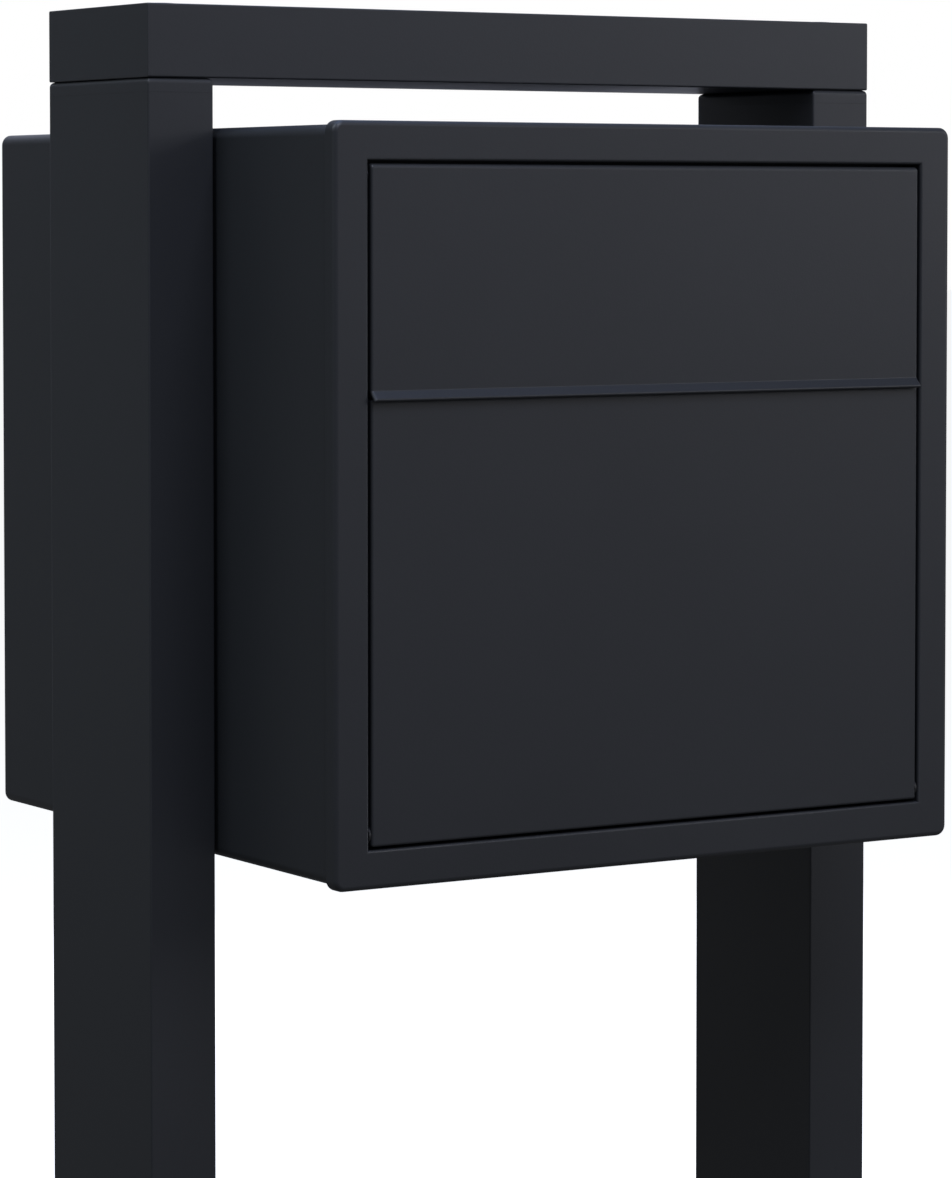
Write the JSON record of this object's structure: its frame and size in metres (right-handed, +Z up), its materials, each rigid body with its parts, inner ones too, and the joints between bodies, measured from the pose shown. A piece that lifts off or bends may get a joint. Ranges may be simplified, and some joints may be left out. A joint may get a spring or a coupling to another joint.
{
  "type": "free-standing letterbox",
  "caption": "Cube-shaped sheet-steel letterbox between two flat posts under a crossbeam, with a drop-down front door and a lipped mail flap over a hidden lock.",
  "frame": {"origin": "on the ground, under the middle of the object's box", "axes": "+Z up, -Y towards the front door, +X to the right as one faces the door"},
  "size_m": [0.584, 0.4046, 1.2012],
  "materials": {
    "coat": "fine-textured matt powder coat, anthracite, on galvanised steel tube",
    "box_coat": "fine-textured matt powder coat, anthracite, on steel sheet",
    "zinc_steel": "zinc-plated steel",
    "black_steel": "phosphated and oiled steel, blackened",
    "black_plastic": "moulded polyamide",
    "rubber": "moulded rubber",
    "nickel_brass": "satin nickel plate on brass"
  },
  "bodies": {
    "stand_and_box": {"left_post": "coat", "right_post": "coat", "left_post_cap": "coat", "right_post_cap": "coat", "left_foot_plate": "coat", "right_foot_plate": "coat", "crossbeam": "coat", "left_beam_end": "coat", "right_beam_end": "coat", "beam_screws": "zinc_steel", "beam_washers": "zinc_steel", "beam_plugs": "black_plastic", "box_shell": "box_coat", "box_back": "box_coat", "bottom_frame_rail": "box_coat", "left_frame_rail": "box_coat", "top_frame_rail": "box_coat", "right_frame_rail": "box_coat", "left_door_stop": "box_coat", "top_door_stop": "box_coat", "right_door_stop": "box_coat", "left_backing_plate": "zinc_steel", "right_backing_plate": "zinc_steel", "left_box_screws": "zinc_steel", "right_box_screws": "zinc_steel", "left_spacers": "black_plastic", "right_spacers": "black_plastic", "left_rivet_nuts": "zinc_steel", "right_rivet_nuts": "zinc_steel", "left_hinge_pin": "black_steel", "right_hinge_pin": "black_steel", "door_bumpers": "rubber"},
    "door": {"door_pan": "box_coat", "left_hinge_bush": "black_plastic", "right_hinge_bush": "black_plastic", "left_flap_bush": "black_plastic", "right_flap_bush": "black_plastic", "flap_bumpers": "rubber", "slot_baffle": "box_coat", "baffle_rivets": "zinc_steel", "lock_housing": "nickel_brass", "lock_nut": "zinc_steel"},
    "flap": {"flap": "box_coat", "left_flap_pin": "black_steel", "right_flap_pin": "black_steel"},
    "lock_core": {"lock_plug": "nickel_brass", "lock_cam": "zinc_steel", "cam_screw": "zinc_steel"}
  },
  "joints": [
    {"name": "door_hinge", "type": "hinge", "parent": "stand_and_box", "child": "door", "pos_m": [0, -0.19225, 0.7595], "axis": [1, 0, 0], "range_deg": [0, 95]},
    {"name": "flap_hinge", "type": "hinge", "parent": "door", "child": "flap", "pos_m": [0, -0.19175, 1.1065], "axis": [-1, 0, 0], "range_deg": [0, 70]},
    {"name": "lock_turn", "type": "hinge", "parent": "door", "child": "lock_core", "pos_m": [0.156, -0.18475, 1.049], "axis": [0, -1, 0], "range_deg": [0, 90]}
  ]
}
